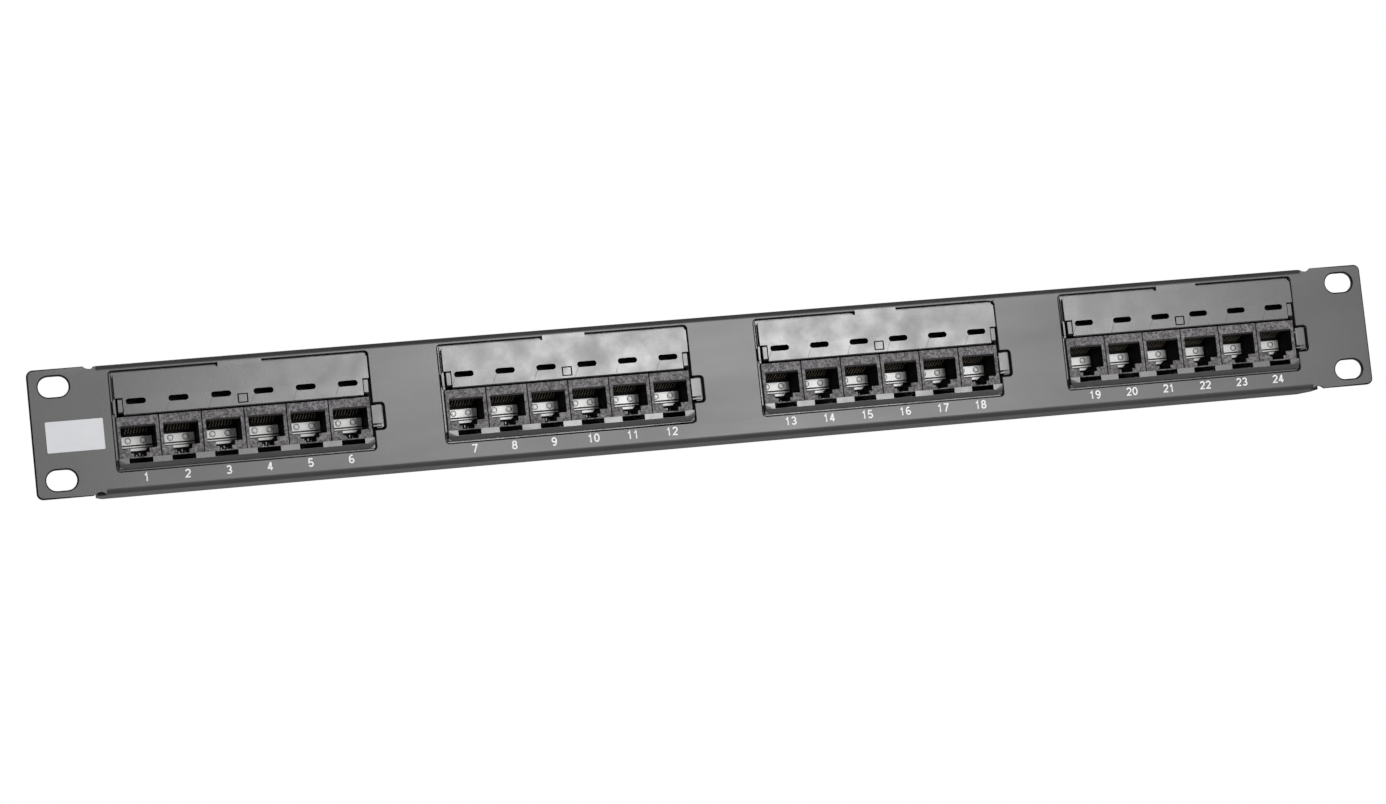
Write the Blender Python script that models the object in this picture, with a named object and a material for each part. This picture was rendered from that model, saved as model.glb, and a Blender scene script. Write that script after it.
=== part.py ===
"""A 19-inch, one-unit patch panel: a folded steel plate with four snap-in modules of six modular jacks.

The origin is the centre of the plate's back face, which rests on the rack's rails. The front looks along -Y,
+X is to the right seen from the front, and +Z is up. Lengths are in metres.
"""

import math

import bmesh
import bpy

MM = 0.001

# The folded plate. Rack sizes follow the 19-inch standard.
PANEL_WIDTH = 482.6 * MM
PANEL_HEIGHT = 44.0 * MM
SHEET = 1.5 * MM
FRONT = -SHEET
FLANGE_DEPTH = 16.0 * MM
FLANGE_HALF = 218.5 * MM
LOWER_FLANGE_HALF = 220.9 * MM
BEND_OUTER = 2.0 * MM
BEND_INNER = BEND_OUTER - SHEET
EAR_CORNER = 2.2 * MM
RELIEF_X = 220.0 * MM
RELIEF_RADIUS = 3.0 * MM
RELIEF_DEPTH = 1.05 * MM
RELIEF_BACK = 1.5 * MM
SLOT_X = 465.1 / 2 * MM
SLOT_Z = 31.75 / 2 * MM
SLOT_LENGTH = 10.4 * MM
SLOT_HEIGHT = 7.0 * MM

# The module openings in the plate.
MODULE_COUNT = 4
MODULE_PITCH = 113.0 * MM
OPENING_HALF = 44.2 * MM
OPENING_TOP = 19.3 * MM
OPENING_BOTTOM = -14.6 * MM
OPENING_CORNER = 1.0 * MM
NOTCH_END = 48.2 * MM
NOTCH_TOP = 1.2 * MM
NOTCH_BOTTOM = -7.7 * MM
SEAT_SHIFT = 0.2 * MM  # a clipped module sits this far towards its latch

# The jack housings.
PORT_COUNT = 6
PORT_PITCH = 14.5 * MM
JACK_FRONT = -1.2 * MM
JACK_BACK = 15.7 * MM
JACK_TOP = 3.7 * MM
JACK_BOTTOM = -10.55 * MM
FACE_HALF = 7.1 * MM
FACE_BACK = 0.3 * MM
BODY_HALF = 6.5 * MM
CAVITY_BACK = 12.8 * MM
PORT_HALF = 5.95 * MM
PORT_TOP = 0.1 * MM
PORT_FLOOR = -7.3 * MM
STEP_HALF = 3.2 * MM
STEP_FLOOR = -8.8 * MM
KEY_HALF = 2.1 * MM
KEY_FLOOR = -10.1 * MM

# The module frame.
FRAME_HALF = 43.65 * MM
RIB_LEFT = 43.5 * MM
RIB_RIGHT = 43.75 * MM
FRAME_TOP = 18.95 * MM
FRAME_BOTTOM = -14.0 * MM
FRAME_BACK = 19.2 * MM
SIDE_WALL = 0.7 * MM
WALL = 1.5 * MM
LABEL_WALL_FRONT = -0.45 * MM
BAR_FRONT = -2.6 * MM
BAR_BACK = -1.5 * MM
BAR_TOP = -10.5 * MM
GAP_FLOOR = -12.4 * MM
GAP_HALF = 4.0 * MM
BAR_CORNER = 1.9 * MM
SKIRT_HALF = 44.9 * MM
SKIRT_TOP = 19.9 * MM
SKIRT_BOTTOM = -15.3 * MM
RAIL_END = 48.8 * MM
LIP_START = -12.5 * MM
LIP_SLOPE = 0.9 * MM

# The label flap and its hinge.
HINGE_Y = -0.6 * MM
HINGE_Z = 7.4 * MM
EAR_RADIUS = 2.6 * MM
EAR_FRONT = -2.1 * MM
EAR_WIDTH = 1.5 * MM
LEFT_EAR = -42.4 * MM
RIGHT_EAR = 41.7 * MM
PIN_RADIUS = 0.8 * MM
BORE_RADIUS = 0.9 * MM
FLAP_LEFT = -43.2 * MM
FLAP_RIGHT = 43.65 * MM
FLAP_FRONT = -2.3 * MM
FLAP_BOTTOM = 4.15 * MM
FLAP_CREASE = 9.8 * MM
FLAP_TOP = 18.25 * MM
FLAP_LEAN = 0.2 * MM
FLAP_THICKNESS = 1.2 * MM
FLAP_EDGE = 0.3 * MM
FLAP_CORNER = 0.6 * MM
NOTCH_CEILING = 10.1 * MM
FLAP_SLOT_Z = 8.75 * MM
FLAP_SLOT_LENGTH = 6.9 * MM
FLAP_SLOT_HEIGHT = 2.0 * MM
TAB_HALF = 7.5 * MM
TAB_TOP = 19.9 * MM
TAB_FRONT = -2.1 * MM
TAB_BACK = -1.75 * MM
LUG_RADIUS = 1.7 * MM
LUG_WIDTH = 1.2 * MM

# The release latch.
PAD_LEFT = 43.55 * MM
PAD_RIGHT = 47.05 * MM
PAD_FRONT = -2.1 * MM
PAD_TOP = 0.6 * MM
PAD_BOTTOM = -5.8 * MM
LIP_TOP = -6.2 * MM
LIP_BOTTOM = -6.9 * MM
STEM_LEFT = 45.1 * MM
BASE_RIGHT = 47.45 * MM
BASE_FRONT = -1.2 * MM
BASE_TOP = 0.9 * MM
BASE_BOTTOM = -7.3 * MM
BASE_CORNER = 0.5 * MM
HOOK_END = 49.1 * MM
HOOK_BACK = 2.0 * MM
ARM_THICKNESS = 1.1 * MM
ARM_END = 9.0 * MM

# The board and the punch-down strips behind the jacks.
BOARD_FRONT = 16.0 * MM
BOARD_THICKNESS = 1.6 * MM
STRIP_HALF = 42.0 * MM
STRIP_HEIGHT = 8.0 * MM
STRIP_END = 30.5 * MM
UPPER_STRIP_Z = 5.4 * MM
LOWER_STRIP_Z = -10.2 * MM
GROUP_PITCH = 28.0 * MM
GROUP_COUNT = 3
TERMINAL_PITCH = 3.3 * MM
TERMINAL_COUNT = 8
TERMINAL_SLOT = 0.9 * MM
TERMINAL_DEPTH = 6.0 * MM

# The sticker on the left ear.
LABEL_CENTRE_X = -226.85 * MM
LABEL_CENTRE_Z = -1.3 * MM
LABEL_WIDTH = 19.5 * MM
LABEL_HEIGHT = 10.6 * MM
LABEL_THICKNESS = 0.25 * MM

GAP = 0.3 * MM  # left between pieces that rest on each other
STICKER_GAP = 0.1 * MM
PAST = 1.0 * MM  # how far a cutter runs past the face it opens
JOIN = 0.3 * MM  # how far joined shapes run into each other
ARC_STEPS = 6  # straight pieces in a quarter turn
BORE_SIDES = 16


def clear_scene():
    for thing in list(bpy.data.objects):
        bpy.data.objects.remove(thing, do_unlink=True)


def material(name, colour, roughness, metallic=0.0):
    made = bpy.data.materials.new(name)
    made.use_nodes = True
    shader = made.node_tree.nodes["Principled BSDF"]
    shader.inputs["Base Color"].default_value = (*colour, 1.0)
    shader.inputs["Roughness"].default_value = roughness
    shader.inputs["Metallic"].default_value = metallic
    return made


def arc(centre, radius, start, end, steps=ARC_STEPS):
    """Points on an arc, from the start angle to the end angle in degrees, both included."""
    points = []
    for index in range(steps + 1):
        angle = math.radians(start + (end - start) * index / steps)
        points.append((centre[0] + radius * math.cos(angle), centre[1] + radius * math.sin(angle)))
    return points


def rectangle(left, right, bottom, top):
    return [(left, bottom), (right, bottom), (right, top), (left, top)]


def rounded_rectangle(left, right, bottom, top, radius):
    return (
        arc((left + radius, bottom + radius), radius, 180, 270)
        + arc((right - radius, bottom + radius), radius, 270, 360)
        + arc((right - radius, top - radius), radius, 0, 90)
        + arc((left + radius, top - radius), radius, 90, 180)
    )


def circle(centre, radius, sides=BORE_SIDES):
    return arc(centre, radius, 0, 360, sides)[:-1]


def obround(centre, length, height):
    """A slot outline with round ends, its long side along the first direction."""
    radius = height / 2
    reach = length / 2 - radius
    right = arc((centre[0] + reach, centre[1]), radius, -90, 90, 2 * ARC_STEPS)
    left = arc((centre[0] - reach, centre[1]), radius, 90, 270, 2 * ARC_STEPS)
    return right + left


def place(point, level, axis):
    """A point of an outline at a level along the axis: Y outlines are (x, z), X outlines (y, z), Z outlines (x, y)."""
    if axis == "Y":
        return (point[0], level, point[1])
    if axis == "X":
        return (level, point[0], point[1])
    return (point[0], point[1], level)


def prism(outline, axis, low, high):
    """A closed solid made by extruding an outline along an axis."""
    shape = bmesh.new()
    base = shape.faces.new([shape.verts.new(place(point, low, axis)) for point in outline])
    moved = bmesh.ops.extrude_face_region(shape, geom=[base])
    raised = [item for item in moved["geom"] if isinstance(item, bmesh.types.BMVert)]
    origin = place((0.0, 0.0), 0.0, axis)
    target = place((0.0, 0.0), high - low, axis)
    offset = [target[index] - origin[index] for index in range(3)]
    bmesh.ops.translate(shape, verts=raised, vec=offset)
    bmesh.ops.recalc_face_normals(shape, faces=shape.faces[:])
    mesh = bpy.data.meshes.new("shape")
    shape.to_mesh(mesh)
    shape.free()
    solid = bpy.data.objects.new("shape", mesh)
    bpy.context.scene.collection.objects.link(solid)
    return solid


def box(left, right, front, back, bottom, top):
    return prism(rectangle(left, right, bottom, top), "Y", front, back)


def combine(solid, other, operation):
    """Unites the solid with another shape, or cuts it by that shape, which is used up."""
    modifier = solid.modifiers.new(operation.title(), "BOOLEAN")
    modifier.operation = operation
    modifier.object = other
    modifier.solver = "EXACT"
    bpy.context.view_layer.update()
    evaluated = solid.evaluated_get(bpy.context.evaluated_depsgraph_get())
    mesh = bpy.data.meshes.new_from_object(evaluated)
    solid.modifiers.clear()
    solid.data = mesh
    bpy.data.objects.remove(other, do_unlink=True)
    return solid


def join(solid, *others):
    for other in others:
        combine(solid, other, "UNION")
    return solid


def cut(solid, *others):
    for other in others:
        combine(solid, other, "DIFFERENCE")
    return solid


def finished_mesh(solid, surface, origin=(0.0, 0.0, 0.0)):
    """Takes a shape's mesh, moved so that the origin point becomes its own zero, with its material."""
    mesh = solid.data
    for vertex in mesh.vertices:
        vertex.co = [vertex.co[index] - origin[index] for index in range(3)]
    mesh.materials.clear()
    mesh.materials.append(surface)
    mesh.shade_smooth()
    mesh.set_sharp_from_angle(angle=math.radians(30))
    bpy.data.objects.remove(solid, do_unlink=True)
    return mesh


def add_node(name, mesh, location=(0.0, 0.0, 0.0), parent=None):
    node = bpy.data.objects.new(name, mesh)
    bpy.context.scene.collection.objects.link(node)
    node.location = location
    node.parent = parent
    return node


def module_centre(module):
    """The x of the centre of a module's opening, for modules 0 to 3 from the left."""
    return (module - (MODULE_COUNT - 1) / 2) * MODULE_PITCH


def port_offset(port):
    """The x of a port's centre from its module's own centre, for ports 0 to 5."""
    return (port - (PORT_COUNT - 1) / 2) * PORT_PITCH


def channel_section():
    """The plate folded back at the top and bottom, as a (y, z) outline."""
    top = PANEL_HEIGHT / 2
    outer_y = FRONT + BEND_OUTER
    outer = arc((outer_y, top - BEND_OUTER), BEND_OUTER, 90, 180)
    outer += arc((outer_y, BEND_OUTER - top), BEND_OUTER, 180, 270)
    inner = arc((outer_y, BEND_OUTER - top), BEND_INNER, 270, 180)
    inner += arc((outer_y, top - BEND_OUTER), BEND_INNER, 180, 90)
    back = [(FLANGE_DEPTH, -top), (FLANGE_DEPTH, SHEET - top)]
    front = [(FLANGE_DEPTH, top - SHEET), (FLANGE_DEPTH, top)]
    return outer + back + inner + front


def ear(side):
    """One rack ear with round outer corners, on side -1 (left) or 1 (right)."""
    top = PANEL_HEIGHT / 2
    outer = PANEL_WIDTH / 2
    inner = FLANGE_HALF - 0.5 * MM
    corner = outer - EAR_CORNER
    outline = [(inner, -top)]
    outline += arc((corner, EAR_CORNER - top), EAR_CORNER, 270, 360)
    outline += arc((corner, top - EAR_CORNER), EAR_CORNER, 0, 90)
    outline += [(inner, top)]
    return prism([(side * x, z) for x, z in outline], "Y", FRONT, 0.0)


def lower_flange_end(side):
    """The tongue that carries the lower flange on past the relief notch, with its rear corner cut away."""
    bottom = -PANEL_HEIGHT / 2
    inner = FLANGE_HALF - JOIN
    outline = [
        (inner, RELIEF_BACK + JOIN),
        (LOWER_FLANGE_HALF, RELIEF_BACK + JOIN),
        (LOWER_FLANGE_HALF, 0.6 * FLANGE_DEPTH),
        (FLANGE_HALF, FLANGE_DEPTH - JOIN),
        (inner, FLANGE_DEPTH - JOIN),
    ]
    return prism([(side * x, y) for x, y in outline], "Z", bottom, bottom + SHEET)


def make_front_panel(surface):
    solid = prism(channel_section(), "X", -FLANGE_HALF, FLANGE_HALF)
    join(solid, ear(-1), ear(1), lower_flange_end(-1), lower_flange_end(1))
    for side in (-1, 1):
        for edge in (-1, 1):
            relief_z = PANEL_HEIGHT / 2 + RELIEF_RADIUS - RELIEF_DEPTH
            relief = circle((side * RELIEF_X, edge * relief_z), RELIEF_RADIUS, 24)
            cut(solid, prism(relief, "Y", FRONT - PAST, RELIEF_BACK))
            slot = obround((side * SLOT_X, edge * SLOT_Z), SLOT_LENGTH, SLOT_HEIGHT)
            cut(solid, prism(slot, "Y", FRONT - PAST, PAST))
    for module in range(MODULE_COUNT):
        x = module_centre(module)
        opening = rounded_rectangle(
            x - OPENING_HALF, x + OPENING_HALF, OPENING_BOTTOM, OPENING_TOP, OPENING_CORNER
        )
        notch = rounded_rectangle(
            x + OPENING_HALF - 2 * PAST, x + NOTCH_END, NOTCH_BOTTOM, NOTCH_TOP, OPENING_CORNER
        )
        cut(solid, prism(opening, "Y", FRONT - PAST, PAST), prism(notch, "Y", FRONT - PAST, PAST))
    add_node("front_panel", finished_mesh(solid, surface))


def make_id_label(surface):
    back = FRONT - STICKER_GAP
    outline = rounded_rectangle(
        -LABEL_WIDTH / 2, LABEL_WIDTH / 2, -LABEL_HEIGHT / 2, LABEL_HEIGHT / 2, 0.4 * MM
    )
    solid = prism(outline, "Y", -LABEL_THICKNESS, 0.0)
    add_node("id_label", finished_mesh(solid, surface), (LABEL_CENTRE_X, back, LABEL_CENTRE_Z))


def port_outline():
    """The keyed opening of a jack: the plug's body, its latch, and the latch's lever."""
    right = [
        (KEY_HALF, KEY_FLOOR),
        (KEY_HALF, STEP_FLOOR),
        (STEP_HALF, STEP_FLOOR),
        (STEP_HALF, PORT_FLOOR),
        (PORT_HALF, PORT_FLOOR),
        (PORT_HALF, PORT_TOP),
    ]
    return right + [(-x, z) for x, z in reversed(right)]


def jack_mesh(surface):
    """A jack housing about its port's centre line, with its y and z as in the panel."""
    solid = box(-BODY_HALF, BODY_HALF, FACE_BACK - JOIN, JACK_BACK, JACK_BOTTOM, JACK_TOP)
    join(solid, box(-FACE_HALF, FACE_HALF, JACK_FRONT, FACE_BACK, JACK_BOTTOM, JACK_TOP))
    cavity = prism(port_outline(), "Y", JACK_FRONT - PAST, CAVITY_BACK)
    wire_space = box(-4.4 * MM, 4.4 * MM, 0.6 * MM, 11.0 * MM, PORT_TOP - JOIN, 2.4 * MM)
    bevel = 0.6 * MM
    lead_in = [
        (JACK_FRONT - PAST, PORT_TOP + bevel + PAST),
        (JACK_FRONT + bevel, PORT_TOP),
        (JACK_FRONT + bevel, PORT_TOP - JOIN),
        (JACK_FRONT - PAST, PORT_TOP - JOIN),
    ]
    cut(solid, cavity, wire_space, prism(lead_in, "X", -PORT_HALF, PORT_HALF))
    return finished_mesh(solid, surface)


def make_jack_housings(surface):
    mesh = jack_mesh(surface)
    for module in range(MODULE_COUNT):
        for port in range(PORT_COUNT):
            number = module * PORT_COUNT + port + 1
            x = module_centre(module) + SEAT_SHIFT + port_offset(port)
            add_node(f"jack_housing_{number:02d}", mesh, (x, 0.0, 0.0))


def upper_section():
    """The frame's top wall, label wall and the deep channel behind the flap's lower edge, in (y, z)."""
    shelf_top = 11.9 * MM
    shelf_bottom = shelf_top - WALL
    channel_back = 8.0 * MM
    channel_bottom = JACK_TOP + GAP
    return [
        (LABEL_WALL_FRONT, FRAME_TOP),
        (FRAME_BACK, FRAME_TOP),
        (FRAME_BACK, FRAME_TOP - WALL),
        (LABEL_WALL_FRONT + WALL, FRAME_TOP - WALL),
        (LABEL_WALL_FRONT + WALL, shelf_top),
        (channel_back, shelf_top),
        (channel_back, channel_bottom),
        (channel_back - WALL, channel_bottom),
        (channel_back - WALL, shelf_bottom),
        (LABEL_WALL_FRONT, shelf_bottom),
    ]


def side_wall_section():
    """A side wall in (y, z): it stands back behind the faces of the jacks."""
    jack_side_front = FACE_BACK + GAP
    return [
        (BAR_BACK, FRAME_BOTTOM),
        (FRAME_BACK, FRAME_BOTTOM),
        (FRAME_BACK, FRAME_TOP),
        (LABEL_WALL_FRONT, FRAME_TOP),
        (LABEL_WALL_FRONT, JACK_TOP + GAP),
        (jack_side_front, JACK_TOP + GAP),
        (jack_side_front, JACK_BOTTOM - GAP),
        (BAR_BACK, JACK_BOTTOM - GAP),
    ]


def right_rib():
    """The rib down the right wall that closes the gap to the edge of the opening."""
    front, back = -0.6 * MM, 3.0 * MM
    return box(RIB_LEFT, RIB_RIGHT, front, back, FRAME_BOTTOM, FRAME_TOP)


def rear_skirt():
    """The rim behind the plate that closes the gap around the opening, open where the latch slides."""
    front, back = GAP, 1.3 * MM
    reach = SKIRT_HALF
    inner = FRAME_HALF - JOIN
    return [
        box(-reach, reach, front, back, SKIRT_BOTTOM, FRAME_BOTTOM + JOIN),
        box(-reach, reach, front, back, FRAME_TOP - JOIN, SKIRT_TOP),
        box(-reach, -inner, front, back, SKIRT_BOTTOM, SKIRT_TOP),
        box(inner, reach, front, back, SKIRT_BOTTOM, BASE_BOTTOM - 2 * GAP),
        box(inner, reach, front, back, BASE_TOP + 2 * GAP, SKIRT_TOP),
    ]


def latch_rails():
    """The two rails behind the latch that it slides along."""
    left, right = FRAME_HALF - JOIN, RAIL_END
    front, back = HOOK_BACK + GAP, HOOK_BACK + GAP + 1.2 * MM
    return [
        box(left, right, front, back, -0.3 * MM, 1.9 * MM),
        box(left, right, front, back, -8.5 * MM, -6.1 * MM),
    ]


def front_bar():
    """The bar below the ports: a gap for each plug's latch, round lower corners and a lip that slopes back."""
    outline = [(-FRAME_HALF, BAR_TOP)]
    outline += arc((BAR_CORNER - FRAME_HALF, FRAME_BOTTOM + BAR_CORNER), BAR_CORNER, 180, 270)
    outline += arc((FRAME_HALF - BAR_CORNER, FRAME_BOTTOM + BAR_CORNER), BAR_CORNER, 270, 360)
    outline += [(FRAME_HALF, BAR_TOP)]
    for port in reversed(range(PORT_COUNT)):
        x = port_offset(port)
        outline += [(x + GAP_HALF, BAR_TOP), (x + GAP_HALF, GAP_FLOOR)]
        outline += [(x - GAP_HALF, GAP_FLOOR), (x - GAP_HALF, BAR_TOP)]
    bar = prism(outline, "Y", BAR_FRONT, BAR_BACK + JOIN)
    slope = [
        (BAR_FRONT - PAST, LIP_START),
        (BAR_FRONT, LIP_START),
        (BAR_FRONT + LIP_SLOPE, FRAME_BOTTOM),
        (BAR_FRONT + LIP_SLOPE, FRAME_BOTTOM - PAST),
        (BAR_FRONT - PAST, FRAME_BOTTOM - PAST),
    ]
    return cut(bar, prism(slope, "X", -FRAME_HALF - PAST, FRAME_HALF + PAST))


def hinge_ear(left):
    """One of the frame's two ears that carry the flap's pins, round behind a flat front."""
    right = left + EAR_WIDTH
    knuckle = prism(circle((HINGE_Y, HINGE_Z), EAR_RADIUS, 24), "X", left, right)
    root = box(left, right, HINGE_Y, 7.0 * MM, HINGE_Z - EAR_RADIUS, HINGE_Z + EAR_RADIUS)
    trim = box(left - PAST, right + PAST, EAR_FRONT - 2 * PAST, EAR_FRONT, 0.0, 2 * HINGE_Z)
    return cut(join(knuckle, root), trim)


def left_clip():
    """The lug in the gap at the left edge of the opening, with its heel behind the plate."""
    bottom, top = 5.0 * MM, 9.4 * MM
    web_left, web_right = -44.05 * MM, -FRAME_HALF + 0.25 * MM
    web = box(web_left, web_right, -1.9 * MM, HOOK_BACK, bottom, top)
    heel = box(-45.4 * MM, web_right, GAP, HOOK_BACK, bottom, top)
    return join(web, heel)


def latch_root():
    """The block on the right wall that the latch's arm springs from."""
    return box(43.3 * MM, 47.6 * MM, ARM_END + GAP, 11.5 * MM, -6.3 * MM, 0.0)


def board_hooks():
    """The ridges that hold the board from behind, on the top and bottom walls."""
    hooks = []
    front = BOARD_FRONT + BOARD_THICKNESS + GAP
    for x in (-29.0 * MM, 0.0, 29.0 * MM):
        left, right = x - 4.0 * MM, x + 4.0 * MM
        ceiling = FRAME_TOP - WALL
        hooks.append(box(left, right, front, FRAME_BACK, ceiling - 0.8 * MM, ceiling + JOIN))
        hooks.append(box(left, right, front, FRAME_BACK, GAP_FLOOR - JOIN, GAP_FLOOR + 0.8 * MM))
    return hooks


def frame_mesh(surface):
    """A module frame about its module's centre line, with its y and z as in the panel."""
    solid = prism(upper_section(), "X", -FRAME_HALF, FRAME_HALF)
    inner = FRAME_HALF - SIDE_WALL
    for low, high in ((-FRAME_HALF, -inner), (inner, FRAME_HALF)):
        join(solid, prism(side_wall_section(), "X", low, high))
    join(solid, box(-FRAME_HALF, FRAME_HALF, BAR_BACK, FRAME_BACK, FRAME_BOTTOM, GAP_FLOOR))
    join(solid, front_bar(), right_rib())
    join(solid, hinge_ear(LEFT_EAR), hinge_ear(RIGHT_EAR), left_clip(), latch_root())
    join(solid, *rear_skirt())
    join(solid, *latch_rails())
    join(solid, *board_hooks())
    bore = prism(circle((HINGE_Y, HINGE_Z), BORE_RADIUS), "X", LEFT_EAR - JOIN, LEFT_EAR + 2 * EAR_WIDTH)
    other_bore = prism(circle((HINGE_Y, HINGE_Z), BORE_RADIUS), "X", RIGHT_EAR - EAR_WIDTH, FRAME_HALF + PAST)
    cut(solid, bore, other_bore)
    return finished_mesh(solid, surface)


def flap_section():
    """The flap's sheet in (y, z): upright at the bottom, leaning back a little above the crease."""
    back = FLAP_FRONT + FLAP_THICKNESS
    return [
        (FLAP_FRONT, FLAP_BOTTOM + FLAP_EDGE),
        (FLAP_FRONT + FLAP_EDGE, FLAP_BOTTOM),
        (back, FLAP_BOTTOM),
        (back, FLAP_CREASE),
        (back + FLAP_LEAN, FLAP_TOP),
        (FLAP_FRONT + FLAP_LEAN, FLAP_TOP),
        (FLAP_FRONT, FLAP_CREASE),
    ]


def flap_lug(left):
    """The lug behind the flap that carries a pin."""
    disc = prism(circle((HINGE_Y, HINGE_Z), LUG_RADIUS), "X", left, left + LUG_WIDTH)
    front = FLAP_FRONT + FLAP_THICKNESS - JOIN
    neck = box(left, left + LUG_WIDTH, front, HINGE_Y, HINGE_Z - LUG_RADIUS, HINGE_Z + LUG_RADIUS)
    return join(disc, neck)


def flap_mesh(surface):
    """A label flap about its hinge axis."""
    solid = prism(flap_section(), "X", FLAP_LEFT, FLAP_RIGHT)
    left_notch = LEFT_EAR + EAR_WIDTH + GAP
    right_notch = RIGHT_EAR - GAP
    front, back = FLAP_FRONT - PAST, 1.0 * MM
    cut(solid, box(FLAP_LEFT - PAST, left_notch, front, back, FLAP_BOTTOM - PAST, NOTCH_CEILING))
    cut(solid, box(right_notch, FLAP_RIGHT + PAST, front, back, FLAP_BOTTOM - PAST, NOTCH_CEILING))
    for edge, inward in ((FLAP_LEFT, FLAP_CORNER), (FLAP_RIGHT, -FLAP_CORNER)):
        corner = [
            (edge + inward, FLAP_TOP + PAST),
            (edge + inward, FLAP_TOP),
            (edge, FLAP_TOP - FLAP_CORNER),
            (edge - inward, FLAP_TOP - FLAP_CORNER),
            (edge - inward, FLAP_TOP + PAST),
        ]
        cut(solid, prism(corner, "Y", front, back))
    for port in range(PORT_COUNT):
        slot = obround((port_offset(port), FLAP_SLOT_Z), FLAP_SLOT_LENGTH, FLAP_SLOT_HEIGHT)
        cut(solid, prism(slot, "Y", front, back))
    cut(solid, box(-1.8 * MM, 1.8 * MM, front, FLAP_FRONT + 0.7 * MM, 5.1 * MM, 8.4 * MM))
    join(solid, box(-1.35 * MM, 1.35 * MM, FLAP_FRONT, FLAP_FRONT + 0.9 * MM, 5.5 * MM, 8.0 * MM))
    join(solid, box(-TAB_HALF, TAB_HALF, TAB_FRONT, TAB_BACK, FLAP_TOP - 2 * JOIN, TAB_TOP))
    join(solid, flap_lug(left_notch), flap_lug(right_notch - LUG_WIDTH))
    hinge = (HINGE_Y, HINGE_Z)
    pin_reach = 1.6 * MM
    join(solid, prism(circle(hinge, PIN_RADIUS), "X", left_notch - pin_reach, left_notch + JOIN))
    join(solid, prism(circle(hinge, PIN_RADIUS), "X", right_notch - JOIN, right_notch + pin_reach))
    return finished_mesh(solid, surface, (0.0, HINGE_Y, HINGE_Z))


def latch_base():
    """The part of a latch that fills the notch behind its pad."""
    corner = BASE_CORNER
    outline = [
        (STEM_LEFT, BASE_BOTTOM),
        (BASE_RIGHT - corner, BASE_BOTTOM),
        (BASE_RIGHT, BASE_BOTTOM + corner),
        (BASE_RIGHT, BASE_TOP - corner),
        (BASE_RIGHT - corner, BASE_TOP),
        (STEM_LEFT, BASE_TOP),
    ]
    return prism(outline, "Y", BASE_FRONT, HOOK_BACK)


def latch_mesh(surface, origin):
    """A release latch: the finger pad and lip in front, the hook behind the plate, and the spring arm."""
    stem = box(STEM_LEFT, PAD_RIGHT, FRONT - JOIN, BASE_FRONT + JOIN, PAD_BOTTOM, PAD_TOP)
    lip_stem = box(STEM_LEFT, PAD_RIGHT - JOIN, FRONT - JOIN, BASE_FRONT + JOIN, LIP_BOTTOM, LIP_TOP)
    pad = box(PAD_LEFT, PAD_RIGHT, PAD_FRONT, FRONT, PAD_BOTTOM, PAD_TOP)
    lip = box(PAD_LEFT, PAD_RIGHT - JOIN, PAD_FRONT, FRONT, LIP_BOTTOM, LIP_TOP)
    hook = [
        (BASE_RIGHT - JOIN, GAP),
        (HOOK_END, GAP),
        (HOOK_END, 0.9 * MM),
        (BASE_RIGHT, HOOK_BACK),
        (BASE_RIGHT - JOIN, HOOK_BACK),
    ]
    hook_bottom, hook_top = BASE_BOTTOM + BASE_CORNER, BASE_TOP - BASE_CORNER / 2
    arm = box(STEM_LEFT, STEM_LEFT + ARM_THICKNESS, HOOK_BACK - JOIN, ARM_END, -5.8 * MM, -0.6 * MM)
    solid = join(latch_base(), stem, lip_stem, pad, lip, prism(hook, "Z", hook_bottom, hook_top), arm)
    return finished_mesh(solid, surface, origin)


def board_mesh(surface):
    half = FRAME_HALF - SIDE_WALL - GAP
    bottom, top = GAP_FLOOR + GAP, FRAME_TOP - WALL - GAP
    solid = box(-half, half, BOARD_FRONT, BOARD_FRONT + BOARD_THICKNESS, bottom, top)
    return finished_mesh(solid, surface)


def strip_mesh(surface):
    """A punch-down strip for three ports, about its own centre line, with its slots open to the back."""
    start = BOARD_FRONT + BOARD_THICKNESS + GAP
    slot_floor = STRIP_END - TERMINAL_DEPTH
    outline = [(-STRIP_HALF, STRIP_END), (-STRIP_HALF, start), (STRIP_HALF, start), (STRIP_HALF, STRIP_END)]
    for index in reversed(range(GROUP_COUNT * TERMINAL_COUNT)):
        group = (index // TERMINAL_COUNT - (GROUP_COUNT - 1) / 2) * GROUP_PITCH
        x = group + (index % TERMINAL_COUNT - (TERMINAL_COUNT - 1) / 2) * TERMINAL_PITCH
        right, left = x + TERMINAL_SLOT / 2, x - TERMINAL_SLOT / 2
        outline += [(right, STRIP_END), (right, slot_floor), (left, slot_floor), (left, STRIP_END)]
    return finished_mesh(prism(outline, "Z", 0.0, STRIP_HEIGHT), surface)


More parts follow.
